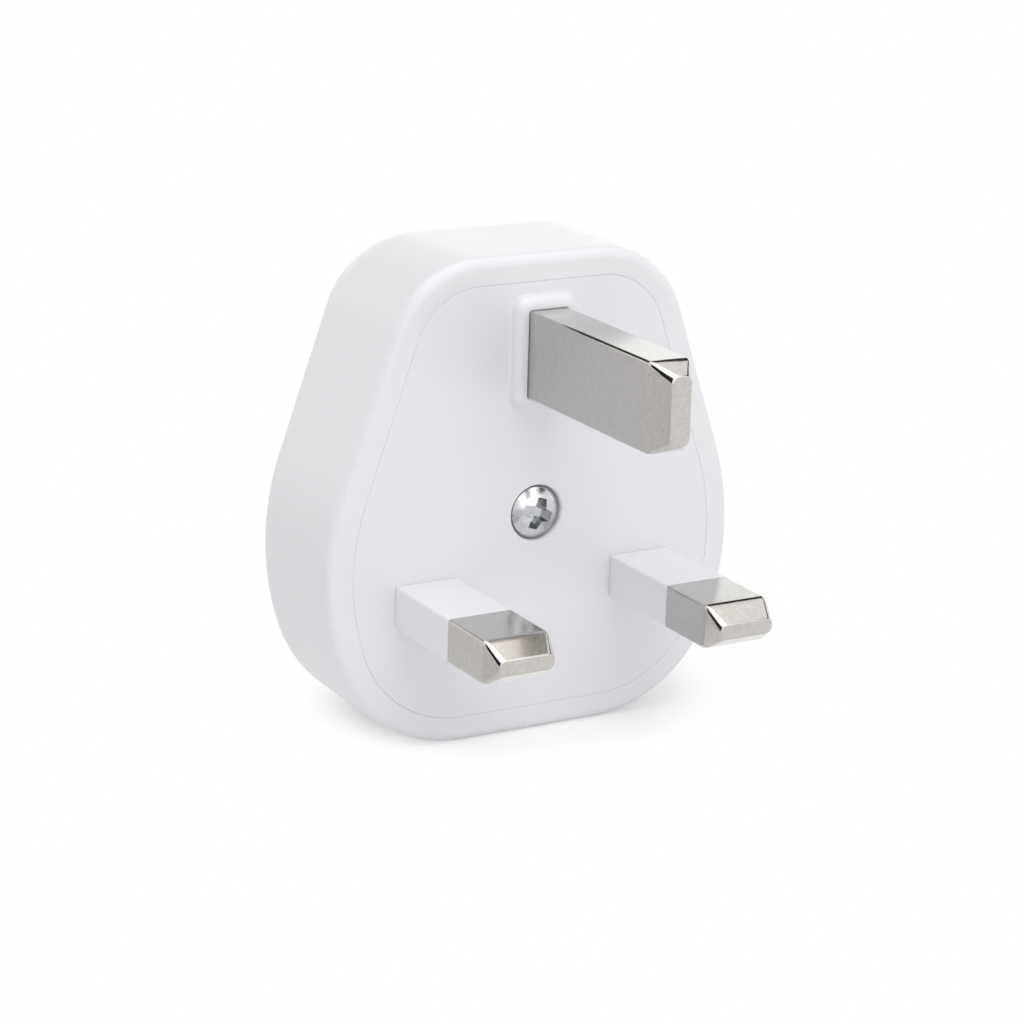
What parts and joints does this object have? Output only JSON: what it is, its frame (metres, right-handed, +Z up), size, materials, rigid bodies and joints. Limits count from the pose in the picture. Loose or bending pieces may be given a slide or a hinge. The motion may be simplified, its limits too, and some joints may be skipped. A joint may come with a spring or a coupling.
{
  "type": "three-pin mains plug",
  "caption": "White rewireable mains plug with a solid earth pin, two sleeved pins, a domed cover screw and a fuse inside.",
  "frame": {"origin": "centre of the footprint of the whole box, on the flat end that the plug stands on", "axes": "+Z up from the cord-entry end to the earth-pin end, -Y the way the pins point, +X to the right as the pin face is looked at"},
  "size_m": [0.0418, 0.0426, 0.0449],
  "materials": {
    "white_cover": "glossy white moulding",
    "white_base": "glossy white moulding with a faint moulded texture",
    "white_sleeve": "smooth white sleeve",
    "nickel_pins": "bright nickel plate over brass",
    "nickel_caps": "nickel-plated drawn caps",
    "zinc_screw": "bright zinc plate",
    "brass_parts": "plain brass",
    "fuse_ceramic": "unglazed ceramic",
    "grip_plastic": "matt nylon",
    "fibre": "red-brown fibre"
  },
  "bodies": {
    "root": {"cover": "white_cover", "base": "white_base", "cover_screw": "zinc_screw", "screw_washer": "fibre", "cover_insert": "brass_parts", "earth_pin": "nickel_pins", "neutral_pin": "nickel_pins", "live_pin": "nickel_pins", "neutral_sleeve": "white_sleeve", "live_sleeve": "white_sleeve", "earth_terminal_screw": "zinc_screw", "neutral_terminal_screw": "zinc_screw", "live_terminal_screw": "zinc_screw", "live_terminal": "brass_parts", "fuse_body": "fuse_ceramic", "lower_fuse_cap": "nickel_caps", "upper_fuse_cap": "nickel_caps", "lower_fuse_clip": "brass_parts", "upper_fuse_clip": "brass_parts", "clip_rivet": "brass_parts", "cord_grip": "grip_plastic", "left_grip_screw": "zinc_screw", "right_grip_screw": "zinc_screw"}
  },
  "joints": []
}
